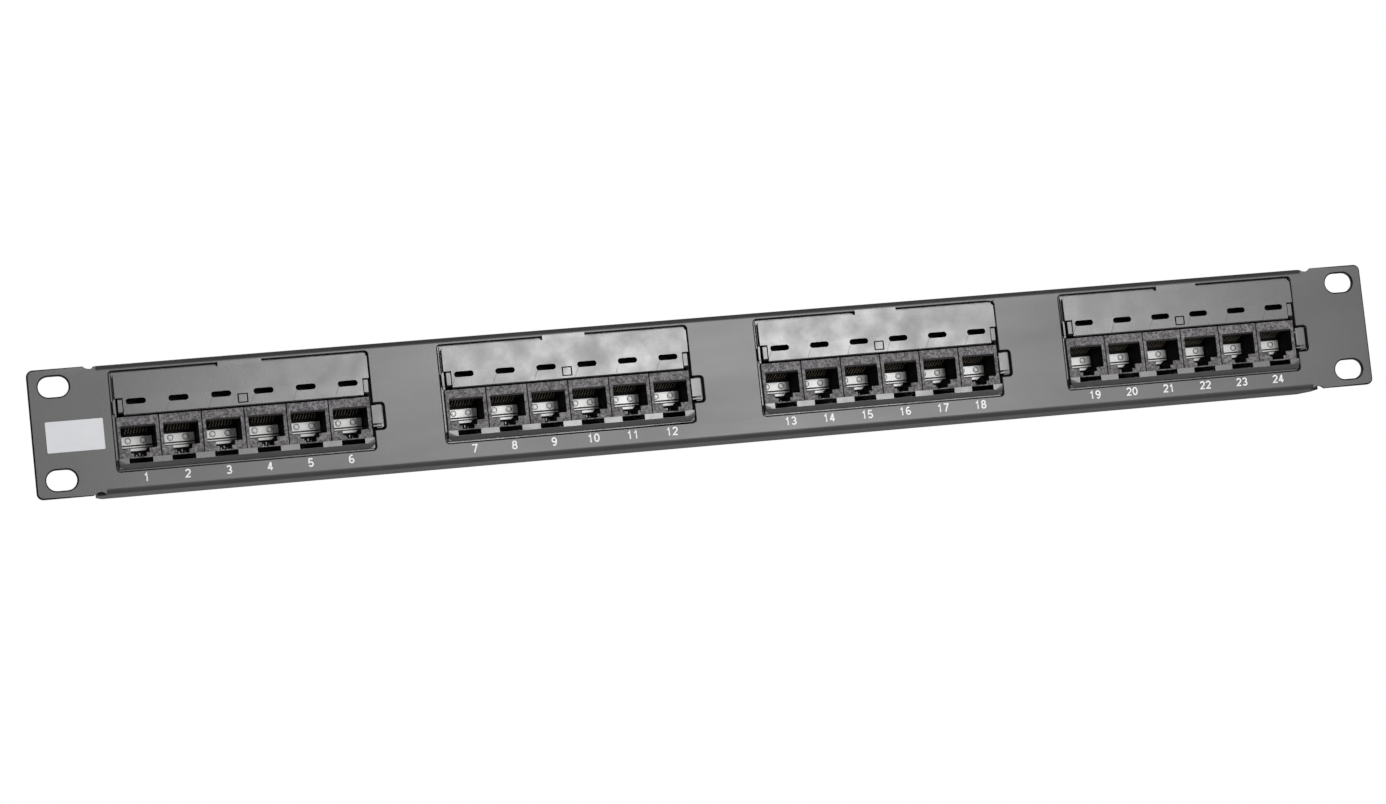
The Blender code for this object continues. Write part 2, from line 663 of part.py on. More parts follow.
def make_modules(surfaces):
    """The four modules: frame, flap, latch, board and punch-down strips of each."""
    latch_origin = ((PAD_LEFT + PAD_RIGHT) / 2, PAD_FRONT, (PAD_TOP + PAD_BOTTOM) / 2)
    frame = frame_mesh(surfaces["frame"])
    flap = flap_mesh(surfaces["flap"])
    latch = latch_mesh(surfaces["latch"], latch_origin)
    board = board_mesh(surfaces["board"])
    strip = strip_mesh(surfaces["strip"])
    for module in range(MODULE_COUNT):
        number = module + 1
        seat = bpy.data.objects.new(f"module_seat_{number}", None)
        bpy.context.scene.collection.objects.link(seat)
        seat.location = (module_centre(module) + SEAT_SHIFT, 0.0, 0.0)
        add_node(f"module_frame_{number}", frame, parent=seat)
        add_node(f"label_flap_{number}", flap, (0.0, HINGE_Y, HINGE_Z), seat)
        add_node(f"release_latch_{number}", latch, latch_origin, seat)
        add_node(f"circuit_board_{number}", board, parent=seat)
        add_node(f"idc_strip_{number}_upper", strip, (0.0, 0.0, UPPER_STRIP_Z), seat)
        add_node(f"idc_strip_{number}_lower", strip, (0.0, 0.0, LOWER_STRIP_Z), seat)


def main():
    clear_scene()
    make_front_panel(material("powder_coated_steel", (0.035, 0.035, 0.036), 0.5))
    make_id_label(material("label_paper", (0.7, 0.71, 0.72), 0.6))
    make_jack_housings(material("jack_plastic", (0.05, 0.048, 0.05), 0.6))
    make_modules(
        {
            "frame": material("frame_plastic", (0.045, 0.045, 0.047), 0.35),
            "flap": material("flap_plastic", (0.06, 0.058, 0.06), 0.3),
            "latch": material("latch_plastic", (0.06, 0.06, 0.06), 0.4),
            "board": material("board_laminate", (0.02, 0.09, 0.045), 0.4),
            "strip": material("strip_plastic", (0.62, 0.62, 0.6), 0.4),
        }
    )
    bpy.context.view_layer.update()


main()
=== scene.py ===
"""The finished patch panel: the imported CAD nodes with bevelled, detailed pieces and procedural materials."""

import math

import bmesh
import bpy
from mathutils import Euler, Matrix, Vector


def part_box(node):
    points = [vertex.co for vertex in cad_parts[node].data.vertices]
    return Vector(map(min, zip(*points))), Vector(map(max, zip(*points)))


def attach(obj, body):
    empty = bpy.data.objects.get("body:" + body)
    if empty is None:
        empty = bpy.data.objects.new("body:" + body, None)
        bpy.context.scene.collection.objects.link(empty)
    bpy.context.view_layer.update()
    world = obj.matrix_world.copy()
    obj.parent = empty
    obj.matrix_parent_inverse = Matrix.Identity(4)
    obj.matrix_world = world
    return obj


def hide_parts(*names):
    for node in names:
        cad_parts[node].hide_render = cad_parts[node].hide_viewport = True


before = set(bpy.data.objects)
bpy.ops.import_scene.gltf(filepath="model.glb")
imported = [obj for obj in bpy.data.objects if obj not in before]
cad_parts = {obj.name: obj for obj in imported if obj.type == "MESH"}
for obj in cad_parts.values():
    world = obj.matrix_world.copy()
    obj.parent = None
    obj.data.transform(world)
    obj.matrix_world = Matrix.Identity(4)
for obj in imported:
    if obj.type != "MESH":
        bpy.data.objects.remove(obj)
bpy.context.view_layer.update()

MM = 0.001
MODULES = (1, 2, 3, 4)
MODULE_PITCH = 113.0 * MM
PORTS = 6
PORT_PITCH = 14.5 * MM
SEAT_SHIFT = 0.2 * MM  # a clipped module sits this far towards its latch
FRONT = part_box("id_label")[1].y + 0.1 * MM  # the plate's front face

# Bevels.
BEVEL_SEGMENTS = 2
SHARP_ANGLE = math.radians(35)
FLAT_ANGLE = math.radians(0.5)
LABEL_BEVEL = 0.06 * MM
BOARD_BEVEL = 0.1 * MM
FINE_BEVEL = 0.12 * MM
PLASTIC_BEVEL = 0.2 * MM
STRIP_BEVEL = 0.35 * MM

# The plate's rolled front edges, and the bend reliefs that stay sharp.
ROLL_WIDTH = 0.5 * MM
ROLL_SEGMENTS = 4
ROLL_BACK = 0.55 * MM
EDGE_REACH = 0.05 * MM
RELIEF_SPAN = (216.5 * MM, 224.0 * MM)
RELIEF_Z = 19.0 * MM
BEND_Z = 20.0 * MM
FLANGE_END = 217.0 * MM
HALF_HEIGHT = 22.01 * MM

# The jack housings: the eroded face, and the painted shade inside the opening.
ERODED_REACH = 0.05 * MM
INSIDE_START = 0.7 * MM
INSIDE_BACK = 14.0 * MM
INSIDE_HALF = 6.2 * MM
INSIDE_SPAN = (-10.0 * MM, 1.5 * MM)

# The contact wires, as (y, z) points in mm.
WIRES = 8
WIRE_PITCH = 1.02 * MM
WIRE_RADIUS = 0.2 * MM
WIRE_SIDES = 8
WIRE_PATH = ((1.2, 1.9), (1.6, 1.8), (3.0, 1.2), (5.0, 0.5), (7.2, -0.2), (9.0, -0.7), (10.6, -0.9))

# The contact carriers: bars as (front, bottom, top) and the foot as (x, z), both in mm.
CARRIER_HALF = 5.7 * MM
CARRIER_BACK = 12.7 * MM
CARRIER_BARS = ((11.5, -4.9, -1.95), (11.3, -5.85, -5.3))
FOOT_FRONT = 11.5 * MM
FOOT = ((-3.9, -7.0), (3.2, -7.0), (4.2, -6.05), (-3.9, -6.05))
STUD_OFFSET = 2.6 * MM
STUD_Z = -3.4 * MM
STUD_RADIUS = 0.6 * MM
STUD_SPAN = (11.2 * MM, 11.8 * MM)
RING_RADIUS = 0.95 * MM
RING_HALF = 0.11 * MM
RING_SPAN = (11.42 * MM, 11.6 * MM)
PINS = 5
PIN_PITCH = 1.05 * MM
PIN_HALF = 0.22 * MM
PIN_SPAN = (11.6 * MM, 12.2 * MM)
PIN_BOTTOM = -9.3 * MM
PIN_TOP = -8.3 * MM
PIN_STAGGER = 0.6 * MM

# The port numbers.
DIGIT_HEIGHT = 2.9 * MM
DIGIT_WIDTH = 0.66  # of the height
DIGIT_ADVANCE = 2.25 * MM
DIGIT_BASE = -18.6 * MM
STROKE_HALF = 0.25 * MM
NUMBER_PITCH = 14.0 * MM
NUMBER_SHIFT = 0.3 * MM
INK_FRONT = 0.027 * MM
INK_BACK = 0.012 * MM
INK_STEP = 0.006 * MM  # keeps strokes that cross out of one plane

# The terminals in the punch-down strips.
TERMINAL_GROUPS = 3
GROUP_PITCH = 28.0 * MM
GROUP_TERMINALS = 8
TERMINAL_PITCH = 3.3 * MM
BLADE_HALF = 0.2 * MM
BLADE_FRONT = 5.8 * MM
BLADE_SHOULDER = 1.6 * MM
BLADE_TIP = 1.2 * MM
BLADE_GAP = 0.22 * MM
BLADE_REACH = 2.4 * MM

# The zones of a module frame painted with shade: the channel behind the flap's slots, and the rim.
CHANNEL_Y = (-0.3 * MM, 7.5 * MM)
CHANNEL_Z = (3.9 * MM, 10.6 * MM)
RIM_Y = (-0.7 * MM, 5.0 * MM)
RIM_HALF = 42.9 * MM
RIM_MIDDLE_Z = 2.5 * MM
RIM_HALF_HEIGHT = 15.6 * MM

# The label flap: the groove around its hook, which gets painted shade, and the knit lines as (left of the
# port, z) in mm.
FLAP_FRONT = -2.3 * MM
GROOVE_HALF = 1.95 * MM
GROOVE_Z = (4.9 * MM, 8.6 * MM)
GROOVE_DEPTHS = (0.12 * MM, 0.95 * MM)
KNIT_PATH = ((3.1, 7.85), (3.9, 6.2), (4.5, 4.6))
KNIT_HALF = 0.06 * MM
KNIT_RISE = 0.004 * MM
KNIT_DEPTH = 0.1 * MM

# The studio: the background's strength, the lights' powers in watts, and the camera fitted to the photograph.
AMBIENT = 0.09
SOFTBOX = 28.0
FILL = 9.5
REAR = 12.0
OVERHEAD = 7.0
FLOOR_HALF = 2.5
FLOOR_Z = -0.35
SENSOR = 36.0
LENS = 105.43
CAMERA_TURN = (-5.35, -13.65, -4.86)
CAMERA_PLACE = (-0.347, -1.3725, -0.136)


def module_x(module):
    return (module - 2.5) * MODULE_PITCH


def port_x(module, port):
    """The x of the centre of port 0 to 5 of a module."""
    return module_x(module) + SEAT_SHIFT + (port - 2.5) * PORT_PITCH


def within(value, span):
    return span[0] < value < span[1]


# ---------------------------------------------------------------- shapes

def link(name, mesh):
    piece = bpy.data.objects.new(name, mesh)
    bpy.context.scene.collection.objects.link(piece)
    return piece


def mesh_from(shape, name):
    mesh = bpy.data.meshes.new(name)
    shape.to_mesh(mesh)
    shape.free()
    return mesh


def node_shape(node):
    """A CAD node's mesh with its flat faces whole again, ready for bevels."""
    shape = bmesh.new()
    shape.from_mesh(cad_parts[node].data)
    bmesh.ops.remove_doubles(shape, verts=shape.verts[:], dist=1e-6)
    bmesh.ops.dissolve_limit(
        shape, angle_limit=FLAT_ANGLE, verts=shape.verts[:], edges=shape.edges[:], delimit=set()
    )
    return shape


def add_bevel(piece, width, segments, limit):
    piece.data.shade_smooth()
    bevel = piece.modifiers.new("Bevel", "BEVEL")
    bevel.width = width
    bevel.segments = segments
    bevel.limit_method = limit
    bevel.harden_normals = True
    return bevel


def bake(piece):
    """Weights a piece's normals so that its flat faces stay flat, and applies its modifiers."""
    weigh = piece.modifiers.new("Weigh", "WEIGHTED_NORMAL")
    weigh.mode = "FACE_AREA"
    weigh.weight = 80
    bpy.context.view_layer.update()
    evaluated = piece.evaluated_get(bpy.context.evaluated_depsgraph_get())
    mesh = bpy.data.meshes.new_from_object(evaluated)
    piece.modifiers.clear()
    piece.data = mesh


def soften(piece, width):
    """Rounds a piece's sharp edges."""
    bevel = add_bevel(piece, width, BEVEL_SEGMENTS, "ANGLE")
    bevel.angle_limit = SHARP_ANGLE
    bevel.miter_outer = "MITER_ARC"
    bevel.use_clamp_overlap = True
    bake(piece)


def add_box(shape, low, high):
    """Adds a closed box between two corners to a bmesh."""
    made = bmesh.ops.create_cube(shape, size=1.0)
    centre = [(low[i] + high[i]) / 2 for i in range(3)]
    size = [high[i] - low[i] for i in range(3)]
    bmesh.ops.scale(shape, verts=made["verts"], vec=size)
    bmesh.ops.translate(shape, verts=made["verts"], vec=centre)


def add_prism(shape, outline, low, high, axis):
    """Adds a closed extruded outline: (x, z) along Y, or (x, y) along Z."""

    def at(point, level):
        if axis == "Y":
            return (point[0], level, point[1])
        return (point[0], point[1], level)

    near = [shape.verts.new(at(point, low)) for point in outline]
    far = [shape.verts.new(at(point, high)) for point in outline]
    faces = [shape.faces.new(near), shape.faces.new(list(reversed(far)))]
    for index in range(len(outline)):
        other = (index + 1) % len(outline)
        faces.append(shape.faces.new([near[index], far[index], far[other], near[other]]))
    bmesh.ops.recalc_face_normals(shape, faces=faces)


def add_tube(shape, path, radius, sides):
    """Adds a round wire along a path, with closed ends."""
    rings = []
    count = len(path)
    for index, point in enumerate(path):
        before = path[max(index - 1, 0)]
        after = path[min(index + 1, count - 1)]
        forward = (Vector(after) - Vector(before)).normalized()
        side = Vector((1, 0, 0))
        up = forward.cross(side).normalized()
        ring = []
        for step in range(sides):
            angle = 2 * math.pi * step / sides
            offset = side * math.cos(angle) + up * math.sin(angle)
            ring.append(shape.verts.new(Vector(point) + offset * radius))
        rings.append(ring)
    faces = []
    for first, second in zip(rings, rings[1:]):
        for step in range(sides):
            other = (step + 1) % sides
            faces.append(shape.faces.new([first[step], first[other], second[other], second[step]]))
    faces.append(shape.faces.new(list(reversed(rings[0]))))
    faces.append(shape.faces.new(rings[-1]))
    bmesh.ops.recalc_face_normals(shape, faces=faces)


def circle(centre, radius, sides):
    points = []
    for step in range(sides):
        angle = 2 * math.pi * step / sides
        points.append((centre[0] + radius * math.cos(angle), centre[1] + radius * math.sin(angle)))
    return points


# ------------------------------------------------------------- materials

class Surface:
    """A material with small helpers for its procedural nodes."""

    def __init__(self, name, colour, roughness, metallic=0.0, specular=0.5):
        self.material = bpy.data.materials.new(name)
        self.material.use_nodes = True
        self.nodes = self.material.node_tree.nodes
        self.links = self.material.node_tree.links
        self.shader = self.nodes["Principled BSDF"]
        self.shader.inputs["Base Color"].default_value = (*colour, 1.0)
        self.shader.inputs["Roughness"].default_value = roughness
        self.shader.inputs["Metallic"].default_value = metallic
        self.shader.inputs["Specular IOR Level"].default_value = specular
        self.colour = colour
        self.place = self.nodes.new("ShaderNodeTexCoord").outputs["Object"]
        self.height = None

    def noise(self, scale, detail=3.0, rough=0.55, stretch=None):
        node = self.nodes.new("ShaderNodeTexNoise")
        node.inputs["Scale"].default_value = scale
        node.inputs["Detail"].default_value = detail
        node.inputs["Roughness"].default_value = rough
        source = self.place
        if stretch:
            mapping = self.nodes.new("ShaderNodeMapping")
            mapping.inputs["Scale"].default_value = stretch
            self.links.new(self.place, mapping.inputs["Vector"])
            source = mapping.outputs["Vector"]
        self.links.new(source, node.inputs["Vector"])
        return node.outputs["Fac"]

    def cells(self, scale):
        node = self.nodes.new("ShaderNodeTexVoronoi")
        node.feature = "SMOOTH_F1"
        node.inputs["Scale"].default_value = scale
        node.inputs["Smoothness"].default_value = 0.6
        self.links.new(self.place, node.inputs["Vector"])
        return node.outputs["Distance"]

    def spread(self, value, low, high, out_low, out_high):
        node = self.nodes.new("ShaderNodeMapRange")
        node.inputs["From Min"].default_value = low
        node.inputs["From Max"].default_value = high
        node.inputs["To Min"].default_value = out_low
        node.inputs["To Max"].default_value = out_high
        self.links.new(value, node.inputs["Value"])
        return node.outputs["Result"]

    def mix(self, factor, first, second):
        node = self.nodes.new("ShaderNodeMix")
        node.data_type = "RGBA"
        self.links.new(factor, node.inputs["Factor"])
        for socket, value in ((node.inputs["A"], first), (node.inputs["B"], second)):
            if isinstance(value, tuple):
                socket.default_value = (*value, 1.0)
            else:
                self.links.new(value, socket)
        return node.outputs["Result"]

    def paint(self, colour):
        self.links.new(colour, self.shader.inputs["Base Color"])

    def mottle(self, value, dark, light, low=0.3, high=0.7):
        """Lets a value move the colour between two multiples of it."""
        tone = self.spread(value, low, high, 0.0, 1.0)
        self.paint(self.mix(tone, tinted(self.colour, dark), tinted(self.colour, light)))

    def roughen(self, value, smooth, rough):
        """Lets a value move the roughness between two limits."""
        varied = self.spread(value, 0.3, 0.7, smooth, rough)
        self.links.new(varied, self.shader.inputs["Roughness"])

    def bump(self, value, distance, strength=1.0):
        node = self.nodes.new("ShaderNodeBump")
        node.inputs["Strength"].default_value = strength
        node.inputs["Distance"].default_value = distance
        self.links.new(value, node.inputs["Height"])
        if self.height:
            self.links.new(self.height, node.inputs["Normal"])
        self.height = node.outputs["Normal"]
        self.links.new(self.height, self.shader.inputs["Normal"])


def tinted(colour, factor):
    return tuple(min(1.0, channel * factor) for channel in colour)


def moulded(name, colour, roughness, grain, depth, specular=0.5):
    """Moulded plastic: fine grain, soft flow shading, and uneven gloss from handling."""
    surface = Surface(name, colour, roughness, specular=specular)
    surface.mottle(surface.noise(55.0, 2.0, stretch=(0.35, 1.0, 1.0)), 0.88, 1.14)
    surface.roughen(surface.noise(120.0, 4.0), roughness - 0.04, roughness + 0.06)
    surface.bump(surface.noise(grain, 2.0), depth)
    return surface


def powder_coat(name, shade, gloss):
    """Fine-textured black powder coat: orange peel, a finer sparkle, and slight rubbing."""
    colour = (shade * 1.015, shade * 1.0, shade * 0.985)
    surface = Surface(name, colour, 0.38, specular=gloss)
    surface.mottle(surface.noise(38.0, 3.0), 0.85, 1.2)
    surface.roughen(surface.noise(14.0, 5.0, stretch=(0.5, 1.0, 2.0)), 0.34, 0.42)
    surface.bump(surface.cells(1500.0), 0.00002, 0.4)
    surface.bump(surface.noise(3800.0, 2.0), 0.00001, 0.6)
    return surface


def eroded(name, colour, roughness):
    """Spark-eroded plastic, with a coarse matt speckle."""
    surface = Surface(name, colour, roughness)
    surface.mottle(surface.noise(1300.0, 4.0, 0.7), 0.3, 2.6, 0.42, 0.62)
    surface.roughen(surface.noise(300.0, 3.0), roughness - 0.1, roughness + 0.12)
    surface.bump(surface.noise(900.0, 5.0, 0.7), 0.00022, 0.9)
    return surface


def metal(name, colour, roughness, grain):
    """Drawn or stamped metal, with fine lines along its length and uneven tarnish."""
    surface = Surface(name, colour, roughness, metallic=1.0)
    tarnish = surface.noise(400.0, 4.0)
    surface.mottle(tarnish, 0.75, 1.08)
    surface.roughen(tarnish, roughness - 0.06, roughness + 0.1)
    surface.bump(surface.noise(grain, 2.0, stretch=(6.0, 1.0, 1.0)), 0.00001, 0.5)
    return surface


def sticker():
    """Matt label stock: fine fibres and faint print mottling."""
    surface = Surface("label_stock", (0.61, 0.62, 0.64), 0.55)
    fibres = surface.noise(2500.0, 4.0, 0.7, stretch=(1.0, 1.0, 2.5))
    surface.mottle(fibres, 0.94, 1.04)
    surface.roughen(surface.noise(160.0), 0.48, 0.6)
    surface.bump(fibres, 0.00001, 0.6)
    return surface


def ink():
    """Screen-printed white ink with a slightly uneven deposit."""
    surface = Surface("white_ink", (0.74, 0.74, 0.73), 0.45)
    deposit = surface.noise(3000.0, 3.0)
    surface.mottle(deposit, 0.86, 1.08)
    surface.roughen(deposit, 0.4, 0.55)
    surface.bump(deposit, 0.00001, 0.5)
    return surface


def laminate():
    """Green solder-masked board: tracks show as a faint raised pattern under the mask."""
    colour = (0.012, 0.075, 0.035)
    surface = Surface("solder_mask", colour, 0.3)
    tracks = surface.nodes.new("ShaderNodeTexBrick")
    tracks.inputs["Scale"].default_value = 160.0
    tracks.inputs["Mortar Size"].default_value = 0.03
    tracks.inputs["Color1"].default_value = (0, 0, 0, 1)
    tracks.inputs["Color2"].default_value = (0.25, 0.25, 0.25, 1)
    tracks.inputs["Mortar"].default_value = (1, 1, 1, 1)
    turn = surface.nodes.new("ShaderNodeMapping")
    turn.inputs["Rotation"].default_value = (math.radians(90), 0, 0)
    surface.links.new(surface.place, turn.inputs["Vector"])
    surface.links.new(turn.outputs["Vector"], tracks.inputs["Vector"])
    surface.paint(surface.mix(tracks.outputs["Fac"], colour, tinted(colour, 1.9)))
    surface.roughen(surface.noise(200.0), 0.24, 0.36)
    surface.bump(tracks.outputs["Fac"], 0.00003, 0.7)
    return surface


POWDER = powder_coat("powder_coat_black", 0.032, 0.5).material
# painted shade: a near-black, low-gloss coat for the dark outline along the plate's rolled front edges
EDGE_SHADE_COAT = powder_coat("powder_coat_painted_edge_shade", 0.008, 0.15).material
FRAME_PLASTIC = moulded("frame_plastic_black", (0.045, 0.045, 0.046), 0.3, 1800.0, 0.000012).material
FLAP_PLASTIC = moulded("flap_plastic_black", (0.047, 0.045, 0.047), 0.28, 1500.0, 0.000008).material
LATCH_PLASTIC = moulded("latch_plastic_black", (0.05, 0.05, 0.05), 0.34, 1800.0, 0.000012).material
JACK_PLASTIC = moulded("jack_plastic_black", (0.03, 0.029, 0.03), 0.42, 1600.0, 0.00002).material
JACK_ERODED = eroded("jack_face_eroded", (0.075, 0.07, 0.074), 0.55).material
# painted reflection: the carrier's pale colour is raised to stand in for the reflection seen on it
CARRIER_PALE_SHEEN = moulded("carrier_pale_painted_reflection", (0.5, 0.5, 0.49), 0.3, 900.0, 0.00001).material
STRIP_PLASTIC = moulded("strip_plastic_white", (0.66, 0.66, 0.63), 0.35, 1600.0, 0.000015).material
# painted shade: the gold is darkened to stand in for the shade on the wires under the housing's top
CONTACT_GOLD_SHADED = metal("contact_gold_painted_shade", (0.17, 0.135, 0.09), 0.36, 900.0).material
TINNED = metal("tinned_steel", (0.55, 0.55, 0.54), 0.3, 900.0).material
LABEL = sticker().material
LINE_PLASTIC = moulded("knit_line_black", (0.02, 0.02, 0.02), 0.5, 1500.0, 0.00001, 0.3).material
# painted shade: near-black matt plastic for recesses, gaps and grooves where shade falls
SHADE_PLASTIC = moulded("painted_shade_black", (0.008, 0.008, 0.008), 0.75, 1500.0, 0.00003, 0.12).material
INK = ink().material
MASK = laminate().material


def dress(piece, *materials):
    piece.data.materials.clear()
    for made in materials:
        piece.data.materials.append(made)
    return piece


# ---------------------------------------------------------------- pieces

def stand_in(node, name, body, width, material):
    """A bevelled, finished copy of a CAD node."""
    piece = link(name, mesh_from(node_shape(node), name))
    soften(piece, width)
    dress(piece, material)
    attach(piece, body)
    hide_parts(node)
    return piece


def mark_front_edges(piece):
    """Gives full bevel weight to the plate's sharp front edges, apart from the bend reliefs."""
    weights = piece.data.attributes.new("bevel_weight_edge", "FLOAT", "EDGE")
    normals = {}
    for face in piece.data.polygons:
        for key in face.edge_keys:
            normals.setdefault(key, []).append(face.normal.copy())
    for edge in piece.data.edges:
        ends = [piece.data.vertices[index].co for index in edge.vertices]
        sides = normals.get(tuple(sorted(edge.vertices)), [])
        sharp = len(sides) == 2 and sides[0].dot(sides[1]) < 0.8
        at_front = all(end.y < FRONT + EDGE_REACH for end in ends)
        at_relief = all(within(abs(end.x), RELIEF_SPAN) and abs(end.z) > RELIEF_Z for end in ends)
        weights.data[edge.index].value = 1.0 if sharp and at_front and not at_relief else 0.0


def paint_rolled_edge_shade(piece):
    """Paints shade on the rolled front edges with the near-black coat, but not along the flanges' bends."""
    for face in piece.data.polygons:
        rolled = face.center.y < FRONT + ROLL_BACK and -0.99 < face.normal.y < -0.05
        turned = abs(face.normal.x) + abs(face.normal.z) > 0.1
        if rolled and turned and abs(face.center.z) < HALF_HEIGHT:
            along_bend = abs(face.center.z) > BEND_Z and abs(face.center.x) < FLANGE_END
            face.material_index = 0 if along_bend else 1


def make_plate():
    """The folded plate; where the coat wraps over the front edges it is painted near-black and less glossy, as
    shade.
    """
    piece = link("plate", mesh_from(node_shape("front_panel"), "plate"))
    mark_front_edges(piece)
    bevel = add_bevel(piece, ROLL_WIDTH, ROLL_SEGMENTS, "WEIGHT")
    bevel.use_clamp_overlap = False
    bake(piece)
    dress(piece, POWDER, EDGE_SHADE_COAT)
    paint_rolled_edge_shade(piece)
    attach(piece, "panel")
    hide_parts("front_panel")


def make_label():
    stand_in("id_label", "ear_label", "panel", LABEL_BEVEL, LABEL)


def housing_mesh():
    """The finished jack housing about its own port's centre line, shared as a pattern by all ports."""
    piece = link("jack_pattern", mesh_from(node_shape("jack_housing_02"), "jack_pattern"))
    piece.data.transform(Matrix.Translation((-port_x(1, 1), 0.0, 0.0)))
    soften(piece, FINE_BEVEL)
    dress(piece, JACK_PLASTIC, JACK_ERODED, SHADE_PLASTIC)
    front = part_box("jack_housing_02")[0].y
    for face in piece.data.polygons:
        place = face.center
        deep = front + INSIDE_START < place.y < INSIDE_BACK
        if place.y < front + ERODED_REACH:
            face.material_index = 1
        # painted shade: the faces deep inside the opening get the near-black matt plastic
        elif deep and abs(place.x) < INSIDE_HALF and within(place.z, INSIDE_SPAN):
            face.material_index = 2
    mesh = piece.data
    bpy.data.objects.remove(piece)
    return mesh


def make_housing(module, port, pattern):
    """A jack housing: matt moulding, with an eroded face around and above the opening."""
    number = (module - 1) * PORTS + port + 1
    mesh = pattern.copy()
    mesh.transform(Matrix.Translation((port_x(module, port), 0.0, 0.0)))
    piece = link(f"jack_{number:02d}", mesh)
    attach(piece, "panel")
    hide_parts(f"jack_housing_{number:02d}")


def make_contacts(module):
    """The eight sprung wires at the top of each port, their gold darkened as painted shade."""
    shape = bmesh.new()
    for port in range(PORTS):
        for wire in range(WIRES):
            x = port_x(module, port) + (wire - 3.5) * WIRE_PITCH
            points = [(x, y * MM, z * MM) for y, z in WIRE_PATH]
            add_tube(shape, points, WIRE_RADIUS, WIRE_SIDES)
    piece = link(f"contact_wires_{module}", mesh_from(shape, "contact_wires"))
    piece.data.shade_smooth()
    piece.data.set_sharp_from_angle(angle=math.radians(50))
    dress(piece, CONTACT_GOLD_SHADED)
    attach(piece, "panel")


def add_carrier(shape, shade_ring_shape, x):
    """One port's carrier: two bars, a foot, two studs with a ring of painted shade around each, and a row of
    pins.
    """
    for front, bottom, top in CARRIER_BARS:
        low = (x - CARRIER_HALF, front * MM, bottom * MM)
        add_box(shape, low, (x + CARRIER_HALF, CARRIER_BACK, top * MM))
    foot = [(x + across * MM, z * MM) for across, z in FOOT]
    add_prism(shape, foot, FOOT_FRONT, CARRIER_BACK, "Y")
    for side in (-1, 1):
        centre = (x + side * STUD_OFFSET, STUD_Z)
        add_prism(shape, circle(centre, STUD_RADIUS, 16), *STUD_SPAN, "Y")
        # painted shade: a near-black ring stands for the shade around each stud
        ring = circle(centre, RING_RADIUS, 24)
        add_stroke(shade_ring_shape, ring + ring[:1], RING_HALF, *RING_SPAN)
    for pin in range(PINS):
        middle = x + (pin - 2) * PIN_PITCH
        rise = (pin % 2) * PIN_STAGGER
        low = (middle - PIN_HALF, PIN_SPAN[0], PIN_BOTTOM + rise)
        add_box(shape, low, (middle + PIN_HALF, PIN_SPAN[1], PIN_TOP + rise))


def make_carriers(module):
    """The contact carrier at the back of each port, pale plastic lightened further as painted reflection, and
    the solder pins below it.
    """
    shape = bmesh.new()
    shade_ring_shape = bmesh.new()
    for port in range(PORTS):
        add_carrier(shape, shade_ring_shape, port_x(module, port))
    piece = link(f"contact_carriers_{module}", mesh_from(shape, "contact_carriers"))
    soften(piece, FINE_BEVEL)
    dress(piece, CARRIER_PALE_SHEEN)
    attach(piece, "panel")
    rings = link(f"carrier_shade_rings_{module}", mesh_from(shade_ring_shape, "carrier_shade_rings"))
    dress(rings, SHADE_PLASTIC)
    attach(rings, "panel")


def sweep(centre, radii, start, end, steps=14):
    """Points along an elliptical arc, in degrees anticlockwise from +X."""
    points = []
    for step in range(steps + 1):
        angle = math.radians(start + (end - start) * step / steps)
        points.append((centre[0] + radii[0] * math.cos(angle), centre[1] + radii[1] * math.sin(angle)))
    return points


# The strokes of each digit on a grid one unit high; the widest digit is about 0.66 wide.
DIGITS = {
    "0": [sweep((0.33, 0.5), (0.26, 0.43), 0, 360, 24)],
    "1": [[(0.14, 0.7), (0.27, 0.78), (0.36, 0.93), (0.36, 0.0)]],
    "2": [sweep((0.33, 0.68), (0.25, 0.25), 165, -35) + [(0.08, 0.07), (0.6, 0.07)]],
    "3": [sweep((0.32, 0.7), (0.23, 0.23), 155, -90), sweep((0.32, 0.27), (0.26, 0.2), 90, -155)],
    "4": [[(0.44, 0.0), (0.44, 0.96)], [(0.4, 0.9), (0.1, 0.27), (0.64, 0.27)]],
    "5": [[(0.56, 0.93), (0.16, 0.93), (0.1, 0.5)] + sweep((0.32, 0.31), (0.26, 0.25), 125, -150)],
    "6": [sweep((0.34, 0.3), (0.24, 0.23), 0, 360, 20), sweep((0.36, 0.42), (0.27, 0.51), 60, 190)],
    "7": [[(0.06, 0.93), (0.6, 0.93), (0.24, 0.0)]],
    "8": [sweep((0.33, 0.71), (0.21, 0.22), 0, 360, 20), sweep((0.33, 0.27), (0.25, 0.23), 0, 360, 20)],
    "9": [sweep((0.32, 0.67), (0.24, 0.25), 0, 360, 20), sweep((0.31, 0.54), (0.26, 0.5), -125, 15)],
}


def add_stroke(shape, points, half, low, high):
    """A flat raised line along the points: one closed strip with mitred corners."""
    closed = (Vector(points[0]) - Vector(points[-1])).length < 1e-7
    places = [Vector(point) for point in (points[:-1] if closed else points)]
    count = len(places)
    rows = []
    for index, point in enumerate(places):
        before = places[index - 1] if closed or index > 0 else point
        after = places[(index + 1) % count] if closed or index < count - 1 else point
        arriving = (point - before).normalized() if before is not point else (after - point).normalized()
        leaving = (after - point).normalized() if after is not point else arriving
        middle = (arriving + leaving).normalized()
        reach = min(half / max(middle.dot(arriving), 0.3), 2.0 * half)
        side = Vector((-middle.y, middle.x)) * reach
        corners = ((point + side, low), (point - side, low), (point - side, high), (point + side, high))
        rows.append([shape.verts.new((flat.x, level, flat.y)) for flat, level in corners])
    faces = []
    for index in range(count if closed else count - 1):
        first, second = rows[index], rows[(index + 1) % count]
        for edge in range(4):
            other = (edge + 1) % 4
            faces.append(shape.faces.new([first[edge], second[edge], second[other], first[other]]))
    if not closed:
        faces.append(shape.faces.new(rows[0]))
        faces.append(shape.faces.new(list(reversed(rows[-1]))))
    bmesh.ops.recalc_face_normals(shape, faces=faces)


